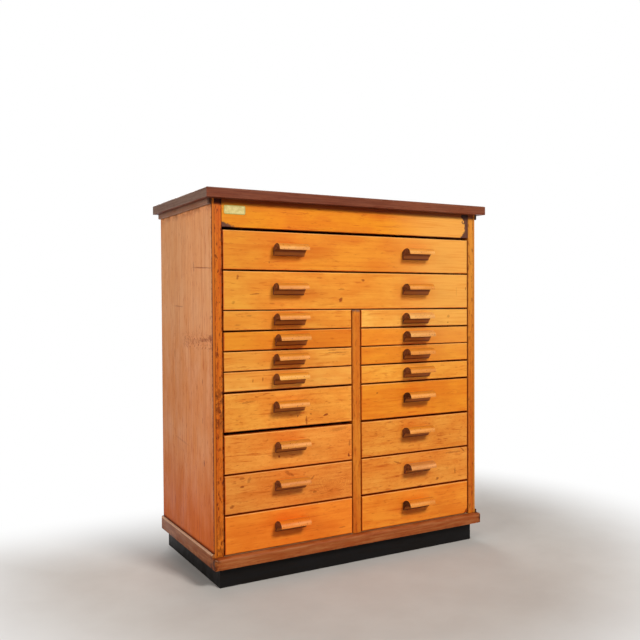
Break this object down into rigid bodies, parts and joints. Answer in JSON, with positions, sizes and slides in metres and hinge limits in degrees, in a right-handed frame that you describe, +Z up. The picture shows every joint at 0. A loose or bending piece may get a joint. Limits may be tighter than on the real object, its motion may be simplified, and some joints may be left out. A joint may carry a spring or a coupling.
{
  "type": "chest of drawers",
  "caption": "Wooden workshop chest: wide drawers above side-by-side columns of narrow ones, each with hooded wooden pulls, on a recessed dark plinth.",
  "frame": {"origin": "on the floor, under the middle of the overall box, pulls included", "axes": "+Z up, the drawer fronts face -Y, +X to the right seen from the front"},
  "size_m": [0.8586, 0.438, 0.974],
  "materials": {
    "top_wood": "dark stained, satin lacquer",
    "side_ply": "amber lacquered softwood ply, vertical grain",
    "strip_wood": "brown stained, worn lacquer",
    "stile_wood": "orange-brown lacquer",
    "fascia_wood": "honey lacquer, worn at the ends",
    "drawer_wood": "amber lacquered pine front, bare wood inside",
    "pull_wood": "worn lacquer, dark end grain",
    "base_wood": "brown stained, worn lacquer",
    "plinth_paint": "black paint, satin",
    "inner_wood": "bare planed pine",
    "back_ply": "bare plywood"
  },
  "bodies": {
    "case": {"top_board": "top_wood", "side_panel_left": "side_ply", "side_panel_right": "side_ply", "top_strip_left": "strip_wood", "top_strip_right": "strip_wood", "front_stile_left": "stile_wood", "front_stile_right": "stile_wood", "back_posts": "inner_wood", "fascia_board": "fascia_wood", "centre_stile": "stile_wood", "centre_partition": "inner_wood", "middle_board": "inner_wood", "bottom_board": "inner_wood", "back_panel": "back_ply", "top_rail": "inner_wood", "top_cleats": "inner_wood", "base_rail": "base_wood", "base_strip_left": "base_wood", "base_strip_right": "base_wood", "plinth_front": "plinth_paint", "plinth_back": "plinth_paint", "plinth_sides": "plinth_paint", "wall_runners": "inner_wood", "partition_runners": "inner_wood"},
    "wide_drawer_1": {"wide_drawer_1_box": "drawer_wood", "wide_drawer_1_pulls": "pull_wood"},
    "wide_drawer_2": {"wide_drawer_2_box": "drawer_wood", "wide_drawer_2_pulls": "pull_wood"},
    "left_drawer_1": {"left_drawer_1_box": "drawer_wood", "left_drawer_1_pull": "pull_wood"},
    "left_drawer_2": {"left_drawer_2_box": "drawer_wood", "left_drawer_2_pull": "pull_wood"},
    "left_drawer_3": {"left_drawer_3_box": "drawer_wood", "left_drawer_3_pull": "pull_wood"},
    "left_drawer_4": {"left_drawer_4_box": "drawer_wood", "left_drawer_4_pull": "pull_wood"},
    "left_drawer_5": {"left_drawer_5_box": "drawer_wood", "left_drawer_5_pull": "pull_wood"},
    "left_drawer_6": {"left_drawer_6_box": "drawer_wood", "left_drawer_6_pull": "pull_wood"},
    "left_drawer_7": {"left_drawer_7_box": "drawer_wood", "left_drawer_7_pull": "pull_wood"},
    "left_drawer_8": {"left_drawer_8_box": "drawer_wood", "left_drawer_8_pull": "pull_wood"},
    "right_drawer_1": {"right_drawer_1_box": "drawer_wood", "right_drawer_1_pull": "pull_wood"},
    "right_drawer_2": {"right_drawer_2_box": "drawer_wood", "right_drawer_2_pull": "pull_wood"},
    "right_drawer_3": {"right_drawer_3_box": "drawer_wood", "right_drawer_3_pull": "pull_wood"},
    "right_drawer_4": {"right_drawer_4_box": "drawer_wood", "right_drawer_4_pull": "pull_wood"},
    "right_drawer_5": {"right_drawer_5_box": "drawer_wood", "right_drawer_5_pull": "pull_wood"},
    "right_drawer_6": {"right_drawer_6_box": "drawer_wood", "right_drawer_6_pull": "pull_wood"},
    "right_drawer_7": {"right_drawer_7_box": "drawer_wood", "right_drawer_7_pull": "pull_wood"},
    "right_drawer_8": {"right_drawer_8_box": "drawer_wood", "right_drawer_8_pull": "pull_wood"}
  },
  "joints": [
    {"name": "wide_drawer_1_slide", "type": "slide", "parent": "case", "child": "wide_drawer_1", "axis": [0, -1, 0], "range_m": [0, 0.28]},
    {"name": "wide_drawer_2_slide", "type": "slide", "parent": "case", "child": "wide_drawer_2", "axis": [0, -1, 0], "range_m": [0, 0.28]},
    {"name": "left_drawer_1_slide", "type": "slide", "parent": "case", "child": "left_drawer_1", "axis": [0, -1, 0], "range_m": [0, 0.28]},
    {"name": "left_drawer_2_slide", "type": "slide", "parent": "case", "child": "left_drawer_2", "axis": [0, -1, 0], "range_m": [0, 0.28]},
    {"name": "left_drawer_3_slide", "type": "slide", "parent": "case", "child": "left_drawer_3", "axis": [0, -1, 0], "range_m": [0, 0.28]},
    {"name": "left_drawer_4_slide", "type": "slide", "parent": "case", "child": "left_drawer_4", "axis": [0, -1, 0], "range_m": [0, 0.28]},
    {"name": "left_drawer_5_slide", "type": "slide", "parent": "case", "child": "left_drawer_5", "axis": [0, -1, 0], "range_m": [0, 0.28]},
    {"name": "left_drawer_6_slide", "type": "slide", "parent": "case", "child": "left_drawer_6", "axis": [0, -1, 0], "range_m": [0, 0.28]},
    {"name": "left_drawer_7_slide", "type": "slide", "parent": "case", "child": "left_drawer_7", "axis": [0, -1, 0], "range_m": [0, 0.28]},
    {"name": "left_drawer_8_slide", "type": "slide", "parent": "case", "child": "left_drawer_8", "axis": [0, -1, 0], "range_m": [0, 0.28]},
    {"name": "right_drawer_1_slide", "type": "slide", "parent": "case", "child": "right_drawer_1", "axis": [0, -1, 0], "range_m": [0, 0.28]},
    {"name": "right_drawer_2_slide", "type": "slide", "parent": "case", "child": "right_drawer_2", "axis": [0, -1, 0], "range_m": [0, 0.28]},
    {"name": "right_drawer_3_slide", "type": "slide", "parent": "case", "child": "right_drawer_3", "axis": [0, -1, 0], "range_m": [0, 0.28]},
    {"name": "right_drawer_4_slide", "type": "slide", "parent": "case", "child": "right_drawer_4", "axis": [0, -1, 0], "range_m": [0, 0.28]},
    {"name": "right_drawer_5_slide", "type": "slide", "parent": "case", "child": "right_drawer_5", "axis": [0, -1, 0], "range_m": [0, 0.28]},
    {"name": "right_drawer_6_slide", "type": "slide", "parent": "case", "child": "right_drawer_6", "axis": [0, -1, 0], "range_m": [0, 0.28]},
    {"name": "right_drawer_7_slide", "type": "slide", "parent": "case", "child": "right_drawer_7", "axis": [0, -1, 0], "range_m": [0, 0.28]},
    {"name": "right_drawer_8_slide", "type": "slide", "parent": "case", "child": "right_drawer_8", "axis": [0, -1, 0], "range_m": [0, 0.28]}
  ]
}
